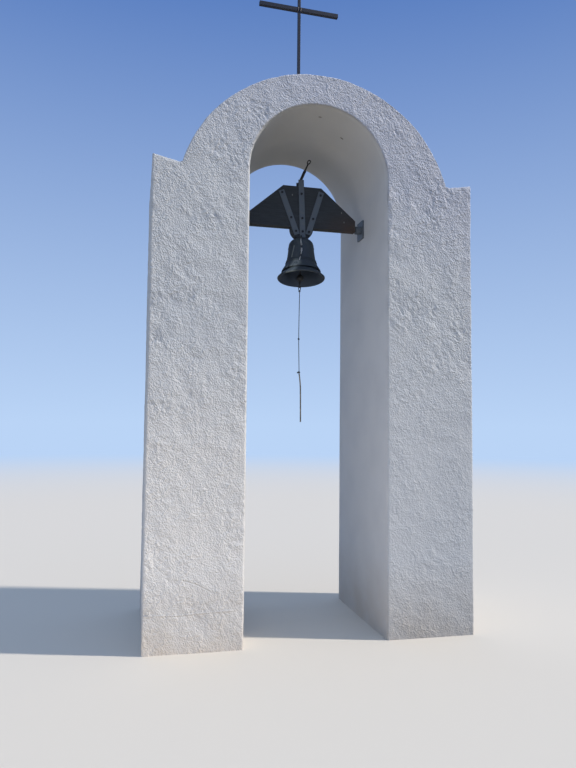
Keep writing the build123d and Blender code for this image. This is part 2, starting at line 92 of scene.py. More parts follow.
# Points of the grids. A pier's top and base are drawn in towards a line at
# PIER_CENTRE from the jamb, by these shares of the way.
ARRIS_POINTS = 5
JAMB_COLUMNS, FACE_COLUMNS, WING_COLUMNS, OUTER_COLUMNS = 12, 66, 31, 36
WALL_ROWS, ARCH_ROWS = 282, 330
PIER_CENTRE = 0.40
TOP_DRAWS = (0.002, 0.007, 0.015, 0.025, 0.04, *np.linspace(0.06, 0.985, 24))
BASE_DRAWS = (0.985, 0.5)
ring_foot = np.sqrt(RING_RADIUS ** 2 - (SPRING - RING_CENTRE) ** 2)
random_table = np.random.default_rng(7).uniform(-1, 1, 8192)


def linear(code):
    """An sRGB hex colour as linear RGBA: a channel c is c / 12.92 up to
    0.04045, and ((c + 0.055) / 1.055) ** 2.4 above it."""
    srgb = np.array([int(code[i:i + 2], 16) for i in (1, 3, 5)]) / 255
    rgb = np.where(srgb <= 0.04045, srgb / 12.92, ((srgb + 0.055) / 1.055) ** 2.4)
    return (*rgb.tolist(), 1.0)


def add(tree, kind, inputs=None, output=0, **settings):
    """Adds a node with its settings. Inputs are numbers, colours or the
    outputs of other nodes, by the socket's name or number."""
    made = tree.nodes.new("ShaderNode" + kind)
    for name, value in settings.items():
        setattr(made, name, value)
    for name, value in (inputs or {}).items():
        if isinstance(value, bpy.types.NodeSocket):
            tree.links.new(value, made.inputs[name])
        else:
            made.inputs[name].default_value = value
    return made.outputs[output] if len(made.outputs) else made


def new_material(name):
    """An empty node material and its tree."""
    made = bpy.data.materials.new(name)
    made.use_nodes = True
    made.node_tree.nodes.clear()
    return made, made.node_tree


def surface(name, points, ends="open", **weights):
    """A mesh over a grid of points, or over several grids of one size. The
    last index but two counts the rows and the last but one the points of a
    row, which runs round to its start. Ends are open, closed by one face
    each, or joined, the last row to the first. Weights are named numbers per
    point."""
    index = np.arange(points[..., 0].size).reshape(-1, *points.shape[-3:-1])
    faces = []
    if ends == "closed":
        faces = index[:, 0, ::-1].tolist() + index[:, -1].tolist()
    if ends == "joined":
        index = np.concatenate([index, index[:, :1]], axis=1)
    index = np.concatenate([index, index[:, :, :1]], axis=2)
    here, ahead = index[:, :-1], index[:, 1:]
    quads = np.stack([here[..., :-1], here[..., 1:], ahead[..., 1:], ahead[..., :-1]], axis=-1)
    mesh = bpy.data.meshes.new(name)
    mesh.from_pydata(points.reshape(-1, 3).tolist(), [], quads.reshape(-1, 4).tolist() + faces)
    for label, values in weights.items():
        attribute = mesh.attributes.new(label, "FLOAT", "POINT")
        attribute.data.foreach_set("value", values.ravel().astype(np.float32))
    mesh.polygons.foreach_set("use_smooth", np.ones(len(mesh.polygons), bool))
    made = bpy.data.objects.new(name, mesh)
    scene.collection.objects.link(made)
    return made


def lattice_noise(points, cell, seed):
    """Smooth noise from -1 to 1: each corner of a lattice has a value from a
    table, and between corners they blend by 3 * t ** 2 - 2 * t ** 3. The
    seed and large primes scatter the corners over the table."""
    place = points / cell
    corner = np.floor(place).astype(np.int64)
    t = place - corner
    t = t * t * (3 - 2 * t)
    total = np.zeros(points.shape[:-1])
    for step in np.ndindex(2, 2, 2):
        i, j, k = (corner[..., axis] + step[axis] for axis in range(3))
        pick = (i * 73856093 ^ j * 19349663 ^ k * 83492791 ^ seed * 2654435761) % len(random_table)
        shares = [t[..., axis] if step[axis] else 1 - t[..., axis] for axis in range(3)]
        total += random_table[pick] * np.prod(shares, axis=0)
    return total


def plaster_relief(points, rough):
    """Height of the plaster over its nominal face, in metres. Where rough is
    1 it has the crumbs of the throw, which gather in patches, over long
    hollows along the drag, and lies LEAST_SETBACK or more behind the face.
    Where it is 0 it has only the waves of the float. The lattices are bent by
    noise of their own, so that no row shows."""
    bend = [lattice_noise(points, BEND_CELL, seed) for seed in (6, 7, 8)]
    x, y, z = np.moveaxis(points + BEND * np.stack(bend, axis=-1), -1, 0)
    dragged = np.stack([x * np.cos(DRAG_LEAN) + z * np.sin(DRAG_LEAN), y,
                        z * np.cos(DRAG_LEAN) - x * np.sin(DRAG_LEAN)], axis=-1)
    crumbs = lattice_noise(dragged, CRUMB_CELL, 1)
    crumbs += 0.8 * lattice_noise(dragged, CRUMB_CELL * 2.1, 2)
    patches = 0.4 + lattice_noise(points, PATCH_CELL, 3)
    patches += 0.6 * lattice_noise(points, SMALL_PATCH_CELL, 9)
    patches = np.clip(patches, 0.0, 1.5)
    hollows = lattice_noise(dragged, HOLLOW_CELL, 4)
    waves = lattice_noise(points, WAVE_CELL, 5)
    thrown = CRUMB_HEIGHT * crumbs * patches + HOLLOW_DEPTH * hollows - SETBACK
    return rough * np.minimum(thrown, -LEAST_SETBACK) + WAVE_HEIGHT * waves * (1 - rough)


def heavy(x, z):
    """Weight of the throw: 1, and up to HEAVY_THROW more towards the right
    and, on the wall, towards the springing."""
    rightward = np.clip((x - HEAVY_LEFT) / HEAVY_FADE, 0, 1)
    upward = np.clip((z - HEAVY_FROM) / (SPRING - HEAVY_FROM), 0, 1)
    return 1 + HEAVY_THROW * rightward * upward


def outline(wing):
    """Outline of the skin round a pier or the arch. From the opening, the
    distance at each point is share * span + offset, where span is the arch
    ring's width, and beyond it lies the pier's wing. Arrises are quarter
    circles. Gives share, offset, depth and the weight of the rough throw."""
    quarter = np.linspace(0, np.pi / 2, ARRIS_POINTS)
    round_in, round_out = ARRIS * (1 - np.cos(quarter)), ARRIS * (1 - np.sin(quarter))
    gained = np.clip(ARRIS_THROW * quarter / quarter[-1], 0, 1)
    edge = HALF_DEPTH - ARRIS
    face = np.linspace(0, 1, FACE_COLUMNS)[1:]
    wing_offsets = np.linspace(-ARRIS, wing - ARRIS, WING_COLUMNS)[1:] if wing else np.empty(0)
    stretches = [(0, 0, -np.linspace(0, edge, JAMB_COLUMNS, endpoint=False), 0),
                 (0, round_in, round_out - HALF_DEPTH, gained),
                 (face, ARRIS * (1 - 2 * face), -HALF_DEPTH, 1),
                 (1, wing_offsets, -HALF_DEPTH, 1),
                 (1, wing - round_out[1:], round_in[1:] - HALF_DEPTH, 1),
                 (1, wing, -np.linspace(edge, 0, OUTER_COLUMNS)[1:], 1)]
    front = [np.stack(np.broadcast_arrays(*stretch), axis=1) for stretch in stretches]
    front = np.concatenate(front)
    back = front[-2:0:-1] * (1, 1, -1, 1)
    return np.concatenate([front, back]).T


def skin(name, points, rough, height, node):
    """The piece of plaster skin that stands for a node of the masonry. It
    keeps the weight of the throw, and its depth in millimetres as it would be
    where the throw is no heavier than usual. Edges on the ground and where
    the pieces meet are sharp."""
    throw = np.broadcast_to(rough, height.shape)
    relief = height / np.maximum(throw, 1) * 1000
    made = surface(name, points[:, ::-1], ends="closed",
                   throw=throw[:, ::-1], relief=relief[:, ::-1])
    ends = np.empty(len(made.data.edges) * 2, np.int32)
    made.data.edges.foreach_get("vertices", ends)
    heights = points[:, ::-1, 2].ravel()[ends.reshape(-1, 2)]
    sharp = np.minimum(heights, np.abs(heights - SPRING)).max(axis=1) < 1e-6
    made.data.attributes.new("sharp_edge", "BOOLEAN", "EDGE").data.foreach_set("value", sharp)
    made.data.materials.append(whitewash)
    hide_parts(node)
    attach(made, "masonry")


def pier(name, side, rise, foot_coats, node):
    """A pier: its outline is carried up the walls, where each point moves out
    along the outline's normal by the relief. The top is drawn in to a small
    face under the arch, over the shoulder's slope and its rounded edge. Side
    is -1 on the left and 1 on the right. Near the ground, coats of whitewash
    soften the throw by the share foot_coats."""
    wing = HALF_WIDTH - ring_foot
    span = ring_foot - HALF_OPENING
    share, offset, depth, rough = outline(wing)
    away = share * span + offset
    section = np.stack([away, depth])
    ahead = np.roll(section, -1, axis=1) - np.roll(section, 1, axis=1)
    out_away, out_depth = np.stack([ahead[1], -ahead[0]]) / np.linalg.norm(ahead, axis=0)
    on_wing = np.clip((away - span) / ARRIS, 0, 1)

    def top(distance):
        return SPRING + rise * np.clip((distance - span) / wing, 0, 1)

    def place(distance, deep, high):
        return np.stack(np.broadcast_arrays(side * (HALF_OPENING + distance), deep, high), axis=-1)

    climb = np.linspace(0, 1, WALL_ROWS)[:, None]
    wall = place(away, depth, climb * (top(away) - ARRIS * on_wing))
    lower_wall = np.clip((COATS_TOP - wall[..., 2]) / COATS_FADE, 0, 1)
    coated = rough * (1 - foot_coats * lower_wall) * heavy(wall[..., 0], wall[..., 2])
    height = plaster_relief(wall, coated)
    push = np.stack([side * out_away, out_depth, 0 * away], axis=-1)
    wall = wall + push * height[..., None]

    draw = np.array(TOP_DRAWS)[:, None]
    inward = -(out_away * (PIER_CENTRE - away) - out_depth * depth)
    gone = np.clip(draw * inward / ARRIS, 0, 1)
    distance, deep = away + (PIER_CENTRE - away) * draw, depth * (1 - draw)
    sunk = ARRIS * on_wing * (1 - np.sqrt(1 - (1 - gone) ** 2))
    lid = place(distance, deep, top(distance) - sunk)
    lid_height = plaster_relief(lid, rough) * gone * np.clip((distance - span) / ARRIS, 0, 1)
    lid[..., 2] += lid_height
    lid += push * (height[-1] * (1 - draw))[..., None]

    draw = np.array(BASE_DRAWS)[:, None]
    base = place(away + (PIER_CENTRE - away) * draw, depth * (1 - draw), 0)
    points = np.concatenate([base, wall, lid])
    heights = np.concatenate([np.zeros(base.shape[:2]), height, lid_height])
    throw = np.concatenate([coated[:len(base)], coated, np.broadcast_to(rough, lid_height.shape)])
    if side > 0:
        points, heights, throw = points[:, ::-1], heights[:, ::-1], throw[:, ::-1]
    skin(name, points, throw, heights, node)


def outward(points):
    """Unit normals of a grid whose rows close on themselves: the cross
    product of the differences along and across the rows."""
    across = np.roll(points, -1, axis=1) - np.roll(points, 1, axis=1)
    normal = np.cross(np.gradient(points, axis=0), across)
    return normal / np.linalg.norm(normal, axis=-1, keepdims=True)


def arch_ring(name, node):
    """The arch: its outline is carried from foot to foot, between the half
    circle of the soffit and the arc of the outer curve."""
    turn = np.linspace(np.pi, 0, ARCH_ROWS)
    inner = HALF_OPENING * np.stack([np.cos(turn), np.sin(turn)], axis=1) + (0, SPRING)
    foot = np.arcsin((SPRING - RING_CENTRE) / RING_RADIUS)
    sweep = np.linspace(np.pi - foot, foot, ARCH_ROWS)
    outer = RING_RADIUS * np.stack([np.cos(sweep), np.sin(sweep)], axis=1) + (0, RING_CENTRE)
    span = np.linalg.norm(outer - inner, axis=1, keepdims=True)
    way = (outer - inner) / span
    share, offset, depth, rough = outline(0.0)
    away = share * span + offset
    points = np.stack([inner[:, :1] + way[:, :1] * away, np.broadcast_to(depth, away.shape),
                       inner[:, 1:] + way[:, 1:] * away], axis=-1)
    rough = rough * heavy(points[..., 0], points[..., 2])
    height = plaster_relief(points, rough)
    normal = outward(points)
    normal[[0, -1], :, 2] = 0
    skin(name, points + normal * height[..., None], rough, height, node)


def stroke(tree, place, start, end, half_width):
    """Weight of a straight mark: 1 on the line from start to end, and 0 from
    half_width away."""
    start, run = Vector(start), Vector(end) - Vector(start)
    per_length = run / run.length_squared
    ahead = add(tree, "VectorMath", {0: place, 1: start}, operation="SUBTRACT")
    share = add(tree, "VectorMath", {0: ahead, 1: per_length}, "Value", operation="DOT_PRODUCT")
    share = add(tree, "Clamp", {"Value": share})
    nearest = add(tree, "VectorMath", {0: run, "Scale": share}, operation="SCALE")
    gap = add(tree, "VectorMath", {0: ahead, 1: nearest}, "Value", operation="DISTANCE")
    return add(tree, "MapRange", {"Value": gap, "From Min": half_width, "From Max": 0.0},
               interpolation_type="SMOOTHSTEP")


# Whitewash over lime plaster: matt and cool white, with painted shade in the
# deep hollows of the throw, on the left of the soffit and towards the top right.
# Painted light brightens the left pier low down, and splashes warm the foot.
# Direction in which the painted shade at the top right grows.
PAINTED_SHADE_SIDE = (0.45, 0, 1)
MARK_HALF_WIDTH = 0.009
DAY_JOINT = ((-1.195, -0.582, 0.259), (-0.949, -0.582, 0.253), (-0.599, -0.582, 0.268))
TROWEL_GROOVE = ((-0.932, -0.582, 0.479), (-0.843, -0.582, 0.450), (-0.753, -0.582, 0.402))
SCRATCH = ((-1.113, -0.582, 1.551), (-1.035, -0.582, 1.503))
SOFFIT_SPOTS = ((0.261, -0.239, 3.790), (0.038, -0.402, 3.859))
SPOT_RUN, SPOT_RADIUS = (0.012, 0, -0.006), 0.012

whitewash, tree = new_material("whitewashed_lime_plaster")
place = add(tree, "TexCoord", output="Object")
throw = add(tree, "Attribute", {}, output="Fac", attribute_name="throw")
relief = add(tree, "Attribute", {}, output="Fac", attribute_name="relief")
drag = add(tree, "Mapping", {"Vector": place, "Rotation": (0, float(-DRAG_LEAN), 0),
                             "Scale": (1, 1, 1.15)}, vector_type="TEXTURE")
# Grit 10 mm apart and crumbs 22 mm apart, coarser than they are, so that they
# show. The sand in the whitewash is 1.4 mm.
grit = add(tree, "TexNoise", {"Vector": drag, "Scale": 105.0, "Detail": 1.0, "Roughness": 0.5})
crumbs = add(tree, "TexNoise", {"Vector": drag, "Scale": 46.0, "Detail": 1.0, "Roughness": 0.5,
                                "Distortion": 0.6})
patches = add(tree, "TexNoise", {"Vector": place, "Scale": 7.0, "Detail": 3.0, "Roughness": 0.6})
patches = add(tree, "MapRange", {"Value": patches, "From Min": 0.38, "From Max": 0.64,
                                 "To Min": 0.1, "To Max": 1.6})
sand = add(tree, "TexNoise", {"Vector": place, "Scale": 700.0, "Detail": 1.0})
mottle = add(tree, "TexNoise", {"Vector": place, "Scale": 3.5, "Detail": 5.0})
# Painted shade: greyer where the throw lies deepest.
pits = add(tree, "MapRange", {"Value": relief, "From Min": -5.6, "From Max": -9.8})
painted_hollow_shade = add(tree, "Math", {0: pits, 1: throw}, operation="MULTIPLY")
tone = add(tree, "Mix", {0: painted_hollow_shade, 6: linear("#DDE0E5"), 7: linear("#BCC1CA")}, output=2,
           data_type="RGBA")
cloud = add(tree, "MapRange", {"Value": mottle, "From Min": 0.40, "From Max": 0.72, "To Max": 0.5})
tone = add(tree, "Mix", {0: cloud, 6: tone, 7: linear("#CED2D9")}, output=2, data_type="RGBA")
x, high = (add(tree, "SeparateXYZ", {"Vector": place}, output=axis) for axis in "XZ")
# Painted shade: greyer and bluer towards the top right, where less light comes up from the floor.
painted_top_shade = add(tree, "VectorMath", {0: place, 1: PAINTED_SHADE_SIDE}, "Value", operation="DOT_PRODUCT")
painted_top_shade = add(tree, "MapRange", {"Value": painted_top_shade, "From Min": 2.9, "From Max": 4.0})
painted_top_shade = add(tree, "Math", {0: painted_top_shade, 1: throw}, operation="MULTIPLY")
tone = add(tree, "Mix", {0: painted_top_shade, 6: tone, 7: linear("#CDD1DF")}, output=2, data_type="RGBA")
# Painted light: the left pier is lighter low down, above its foot, where the floor before it throws
# light up.
lower_wall = add(tree, "MapRange", {"Value": high, "From Min": 2.15, "From Max": 1.35})
leftward = add(tree, "MapRange", {"Value": x, "From Min": 0.5, "From Max": -0.4})
painted_floor_light = add(tree, "Math", {0: lower_wall, 1: leftward}, operation="MULTIPLY")
over_splash = add(tree, "MapRange", {"Value": high, "From Min": 0.1, "From Max": 0.65})
painted_floor_light = add(tree, "Math", {0: painted_floor_light, 1: over_splash}, operation="MULTIPLY")
tone = add(tree, "Mix", {0: painted_floor_light, 6: tone, 7: linear("#EBEAEA")}, output=2, data_type="RGBA")
splash = add(tree, "MapRange", {"Value": high, "From Min": 0.55, "From Max": 0.0, "To Max": 0.95})
splash = add(tree, "Math", {0: splash, 1: mottle}, operation="MULTIPLY")
tone = add(tree, "Mix", {0: splash, 6: tone, 7: linear("#CDBFAE")}, output=2, data_type="RGBA")
# Painted shade: the soffit is greyer towards its left, where it faces down.
normal = add(tree, "TexCoord", output="Normal")
down = add(tree, "SeparateXYZ", {"Vector": normal}, output="Z")
down = add(tree, "MapRange", {"Value": down, "From Min": 0.0, "From Max": -0.5})
grey = add(tree, "MapRange", {"Value": x, "From Min": 0.35, "From Max": -0.40,
                              "To Min": 0.15, "To Max": 0.9})
grey = add(tree, "Math", {0: grey, 1: down}, operation="MULTIPLY")
tone = add(tree, "Mix", {0: grey, 6: tone, 7: linear("#BDBFC1")}, output=2, data_type="RGBA")
for spot in SOFFIT_SPOTS:
    stain = stroke(tree, place, spot, np.add(spot, SPOT_RUN), SPOT_RADIUS)
    tone = add(tree, "Mix", {0: stain, 6: tone, 7: linear("#5A5550")}, output=2, data_type="RGBA")
coarse = add(tree, "Math", {0: crumbs, 1: patches, 2: grit}, operation="MULTIPLY_ADD")
coarse = add(tree, "Math", {0: coarse, 1: throw}, operation="MULTIPLY")
for line, depth in ((DAY_JOINT, 0.50), (TROWEL_GROOVE, -0.50), (SCRATCH, 0.3)):
    for start, end in zip(line, line[1:]):
        mark = stroke(tree, place, start, end, MARK_HALF_WIDTH)
        coarse = add(tree, "Math", {0: mark, 1: depth, 2: coarse}, operation="MULTIPLY_ADD")
bump = add(tree, "Bump", {"Height": sand, "Strength": 0.25, "Distance": 0.0008})
bump = add(tree, "Bump", {"Height": coarse, "Strength": 1.0, "Distance": 0.0076, "Normal": bump})
shader = add(tree, "BsdfPrincipled", {"Base Color": tone, "Roughness": 0.88, "Normal": bump})
add(tree, "OutputMaterial", {"Surface": shader})

pier("left_pier_plaster", -1, LEFT_SHOULDER_RISE, 0.0, "left_pier")
pier("right_pier_plaster", 1, RIGHT_SHOULDER_RISE, RIGHT_FOOT_COATS, "right_pier")
arch_ring("arch_plaster", "arch")


# Cross: two square iron bars butt-welded to the sides of an upright that is
# set in the crown. Its dark paint has weathered, and the welds rust.
def dress(material, *nodes):
    """Gives nodes of the frame one material."""
    for name in nodes:
        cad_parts[name].data.materials.clear()
        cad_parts[name].data.materials.append(material)


def painted_iron(name, paint, worn, edge_wear, patchy):
    """Weathered paint over iron: the sharp edges are rubbed to the worn
    colour by the share edge_wear, and patches of it break through by the
    share patchy. Brush marks and blisters of rust make it uneven. Edges are
    rounded by 1.5 mm to catch the light."""
    made, tree = new_material(name)
    place = add(tree, "TexCoord", output="Object")
    rounded = add(tree, "Bevel", {"Radius": 0.0015}, output="Normal", samples=4)
    flat = add(tree, "NewGeometry", output="Normal")
    turned = add(tree, "VectorMath", {0: rounded, 1: flat}, "Value", operation="DOT_PRODUCT")
    edge = add(tree, "MapRange", {"Value": turned, "From Min": 0.99, "From Max": 0.85,
                                  "To Max": edge_wear})
    # Worn patches of about 40 mm, and brush marks and rust 4 mm apart.
    blotch = add(tree, "TexNoise", {"Vector": place, "Scale": 24.0, "Detail": 6.0,
                                    "Roughness": 0.65})
    patch = add(tree, "MapRange", {"Value": blotch, "From Min": 0.52, "From Max": 0.68,
                                   "To Max": patchy})
    wear = add(tree, "Math", {0: edge, 1: patch}, operation="MAXIMUM")
    colour = add(tree, "Mix", {0: wear, 6: linear(paint), 7: linear(worn)}, output=2,
                 data_type="RGBA")
    grain = add(tree, "TexNoise", {"Vector": place, "Scale": 260.0, "Detail": 3.0})
    bump = add(tree, "Bump", {"Height": grain, "Strength": 0.35, "Distance": 0.0012,
                              "Normal": rounded})
    bump = add(tree, "Bump", {"Height": patch, "Strength": 0.5, "Distance": 0.0008, "Normal": bump})
    shader = add(tree, "BsdfPrincipled", {"Base Color": colour, "Roughness": 0.55, "Metallic": 0.0,
                                          "Normal": bump})
    add(tree, "OutputMaterial", {"Surface": shader})
    return made


CROSS_JOINT = Vector((-0.017, 0.060, 4.982))
CROSS_TURN = np.radians(2)
UPRIGHT_HALF, ARM_HALF = 0.011, 0.0155
WELD_RADIUS = 0.0035
WELD_STEPS, WELD_SIDES = 72, 10

cross_iron = painted_iron("slate_painted_iron", "#1C2436", "#3A3C42", 0.25, 0.25)
dark_iron = painted_iron("black_painted_iron", "#1C1E22", "#40342E", 0.45, 0.5)
weld_metal = painted_iron("rusting_weld", "#77706C", "#6A4A38", 0.2, 0.8)
dress(cross_iron, "cross_upright", "cross_left_arm", "cross_right_arm")


def sweep_round(line, radius, around, closed):
    """A tube round a line of points. The radius is one number for each point
    and each place round it. Rings lie square to the line, and start in the
    direction square to the line and to the vector around."""
    if closed:
        ahead = np.roll(line, -1, axis=0) - np.roll(line, 1, axis=0)
    else:
        ahead = np.gradient(line, axis=0)
    ahead /= np.linalg.norm(ahead, axis=1, keepdims=True)
    side = np.cross(ahead, around)
    side /= np.linalg.norm(side, axis=1, keepdims=True)
    front = np.cross(side, ahead)
    angle = np.linspace(0, -2 * np.pi, radius.shape[1], endpoint=False)[:, None]
    ring = side[:, None] * np.cos(angle) + front[:, None] * np.sin(angle)
    return line[:, None] + ring * radius[..., None]


def weld(name, side):
    """A bead of weld round the end of an arm. It follows a square with round
    corners, the superellipse |y| ** 8 + |z| ** 8 = ARM_HALF ** 8, and swells
    and shrinks with the welder's hand."""
    turn = np.linspace(0, 2 * np.pi, WELD_STEPS, endpoint=False)
    reach = ARM_HALF / (np.abs(np.cos(turn)) ** 8 + np.abs(np.sin(turn)) ** 8) ** (1 / 8)
    flank = np.full(WELD_STEPS, side * UPRIGHT_HALF)
    square = np.stack([flank, reach * np.cos(turn), reach * np.sin(turn)], axis=1)
    bead = WELD_RADIUS * (1 + 0.18 * np.sin(17 * turn) + 0.10 * np.sin(7 * turn + side))
    bead = np.repeat(bead[:, None], WELD_SIDES, axis=1)
    tube = sweep_round(square, bead, (1, 0, 0), closed=True)
    cos, sin = np.cos(CROSS_TURN), np.sin(CROSS_TURN)
    spin = np.array([[cos, sin, 0], [-sin, cos, 0], [0, 0, 1]])
    made = surface(name, tube @ spin + np.array(CROSS_JOINT), ends="joined")
    made.data.materials.append(weld_metal)
    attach(made, "masonry")


weld("left_arm_weld", -1)
weld("right_arm_weld", 1)


# Bearings: a plate on each jamb carries a short round housing, closed at the
# plate, in which a bare steel gudgeon turns. Plate and housing are painted grey.
grey_iron = painted_iron("grey_painted_steel", "#5F6974", "#7F776D", 0.55, 0.30)
dress(grey_iron, "left_wall_plate", "right_wall_plate", "left_bearing", "right_bearing")

bare_steel, tree = new_material("worn_bare_steel")
place = add(tree, "TexCoord", output="Object")
# Lathe marks 1 mm apart, coarser than they are, so that they show.
lathed = add(tree, "Mapping", {"Vector": place, "Scale": (900, 40, 40)})
lines = add(tree, "TexNoise", {"Vector": lathed, "Scale": 1.0, "Detail": 2.0})
grease = add(tree, "TexNoise", {"Vector": place, "Scale": 60.0, "Detail": 4.0})
film = add(tree, "MapRange", {"Value": grease, "From Min": 0.42, "From Max": 0.62})
colour = add(tree, "Mix", {0: film, 6: linear("#9A9C9E"), 7: linear("#4A4440")}, output=2,
             data_type="RGBA")
rough = add(tree, "MapRange", {"Value": film, "To Min": 0.28, "To Max": 0.6})
bump = add(tree, "Bump", {"Height": lines, "Strength": 0.2, "Distance": 0.0003})
shader = add(tree, "BsdfPrincipled", {"Base Color": colour, "Roughness": rough, "Metallic": 0.9,
                                      "Normal": bump})
add(tree, "OutputMaterial", {"Surface": shader})
dress(bare_steel, "left_gudgeon", "right_gudgeon")


# Headstock and yoke block: sawn hardwood, stained nearly black. The grain
# runs along the timber, the arrises are rubbed pale, the stain has gone brown
# low at the right end, where the rain drips off, and it bears pale specks.
PALE_SPECKS = ((-0.081, -0.0325, 3.377), (0.333, -0.0325, 3.262), (0.355, -0.0325, 3.185))
SPECK_RUN, SPECK_RADIUS = (0.001, 0, -0.008), 0.006

timber, tree = new_material("dark_stained_hardwood")
place = add(tree, "TexCoord", output="Object")
# Grain 7 mm apart and 110 mm long, coarser than it is, so that it shows.
grain_place = add(tree, "Mapping", {"Vector": place, "Scale": (9, 150, 150)})
grain = add(tree, "TexNoise", {"Vector": grain_place, "Scale": 1.0, "Detail": 6.0,
                               "Roughness": 0.75})
weather = add(tree, "TexNoise", {"Vector": place, "Scale": 9.0, "Detail": 5.0})
colour = add(tree, "ValToRGB", {"Fac": grain})
colour.node.color_ramp.elements[0].position = 0.30
colour.node.color_ramp.elements[0].color = linear("#2D3238")
colour.node.color_ramp.elements[1].position = 0.75
colour.node.color_ramp.elements[1].color = linear("#42484F")
x, z = (add(tree, "SeparateXYZ", {"Vector": place}, output=axis) for axis in "XZ")
right_end = add(tree, "MapRange", {"Value": x, "From Min": 0.10, "From Max": 0.46})
low = add(tree, "MapRange", {"Value": z, "From Min": 3.30, "From Max": 3.11, "To Max": 1.2})
browned = add(tree, "Math", {0: right_end, 1: low}, operation="MULTIPLY")
browned = add(tree, "Math", {0: browned, 1: weather}, operation="MULTIPLY")
colour = add(tree, "Mix", {0: browned, 6: colour, 7: linear("#5A4638")}, output=2, data_type="RGBA")
rounded = add(tree, "Bevel", {"Radius": 0.003}, output="Normal", samples=4)
flat = add(tree, "NewGeometry", output="Normal")
turned = add(tree, "VectorMath", {0: rounded, 1: flat}, "Value", operation="DOT_PRODUCT")
rubbed = add(tree, "MapRange", {"Value": turned, "From Min": 0.99, "From Max": 0.90, "To Max": 0.6})
colour = add(tree, "Mix", {0: rubbed, 6: colour, 7: linear("#5B5750")}, output=2, data_type="RGBA")
for speck in PALE_SPECKS:
    drip = stroke(tree, place, speck, np.add(speck, SPECK_RUN), SPECK_RADIUS)
    colour = add(tree, "Mix", {0: drip, 6: colour, 7: linear("#8E908F")}, output=2,
                 data_type="RGBA")
bump = add(tree, "Bump", {"Height": grain, "Strength": 0.6, "Distance": 0.0025, "Normal": rounded})
shader = add(tree, "BsdfPrincipled", {"Base Color": colour, "Roughness": 0.78, "Normal": bump})
add(tree, "OutputMaterial", {"Surface": shader})
dress(timber, "headstock", "yoke_block")


# Straps: three flat bars on each face of the headstock, painted grey, and
# bolted through the timber with dark hexagon bolts.
for side in ("left", "centre", "right"):
    dress(grey_iron, side + "_front_strap", side + "_rear_strap")
    dress(dark_iron, side + "_strap_bolts")
dress(grey_iron, "chain_staple")


# Lever: a length of ribbed reinforcing bar welded to the centre straps. A
# wire let into its end goes on to an oval eye.
LEVER_HEEL = (-0.0148, 0.0298, 3.4805)
LEVER_NECK = (0.0086, -0.1839, 3.5756)
LEVER_EYE = (0.0105, -0.2016, 3.5835)
BAR_RADIUS = 0.0118
WIRE_RADIUS = 0.0062
BAR_SHARE = 0.70            # share of the lever that is bar
RIB_PITCH, RIB_HEIGHT = 0.011, 0.16     # the height is a share of the bar's radius
EYE_LENGTH, EYE_WIDTH, EYE_WIRE = 0.046, 0.030, 0.009
LEVER_STEPS, LEVER_SIDES = 190, 24
EYE_STEPS, EYE_SIDES = 64, 12


def oval_wire(centre, along, flat, length, width, wire, steps, around):
    """A closed oval of round wire in the plane square to flat: two half
    circles, drawn apart by straight stretches along the direction along."""
    along, flat = (v / np.linalg.norm(v) for v in (along, flat))
    turn = np.linspace(0, 2 * np.pi, steps, endpoint=False)
    radius = (width - wire) / 2
    lengthwise = (length - width) / 2 * np.tanh(5 * np.cos(turn)) + radius * np.cos(turn)
    crosswise = radius * np.sin(turn)
    line = centre + along * lengthwise[:, None] + np.cross(flat, along) * crosswise[:, None]
    return sweep_round(line, np.full((steps, around), wire / 2), flat, closed=True)


heel, neck, eye = (np.array(point) for point in (LEVER_HEEL, LEVER_NECK, LEVER_EYE))
bar_length = np.linalg.norm(neck - heel)
run = np.linspace(0, 1, LEVER_STEPS)[:, None]
across = np.linspace(0, 2 * np.pi, LEVER_SIDES, endpoint=False)
rib = np.cos(2 * np.pi * (run * bar_length / RIB_PITCH) + 2.4 * np.abs(np.sin(across / 2)))
ribbed = BAR_RADIUS * (1 - RIB_HEIGHT + RIB_HEIGHT * np.clip(2.2 * rib - 0.6, 0, 1))
bar_radius = WIRE_RADIUS + (ribbed - WIRE_RADIUS) * np.clip((BAR_SHARE - run) / 0.02, 0, 1)
bar_line = heel + (neck - heel) * run
lever_bar = surface("lever_bar", sweep_round(bar_line, bar_radius, (1, 0, 0), closed=False),
                    ends="closed")
lever_bar.data.materials.append(dark_iron)
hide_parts("bell_lever")
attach(lever_bar, "bell_assembly")

lever_flat = np.cross(neck - heel, (1, 0, 0))
eye_wire = oval_wire(eye, neck - heel, lever_flat, EYE_LENGTH, EYE_WIDTH, EYE_WIRE,
                     EYE_STEPS, EYE_SIDES)
lever_eye = surface("lever_eye", eye_wire, ends="joined")
lever_eye.data.materials.append(dark_iron)
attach(lever_eye, "bell_assembly")


# Bell: cast metal with a dark skin, dull green where water runs down it, with
# painted sky light bluer inside the mouth, and splashed with lime wash on the left flank.
BELL_MIDDLE = (0.003, -0.028, 2.830)
LIME_MARKS = (((-0.070, -0.148, 2.792), (-0.112, -0.175, 2.722), 0.056, 1.0),
              ((-0.074, -0.084, 2.943), (-0.095, -0.095, 2.852), 0.009, 0.60),
              ((-0.130, -0.114, 2.778), (-0.166, -0.131, 2.720), 0.008, 0.80),
              ((-0.111, -0.150, 2.771), (-0.154, -0.165, 2.713), 0.008, 0.80))

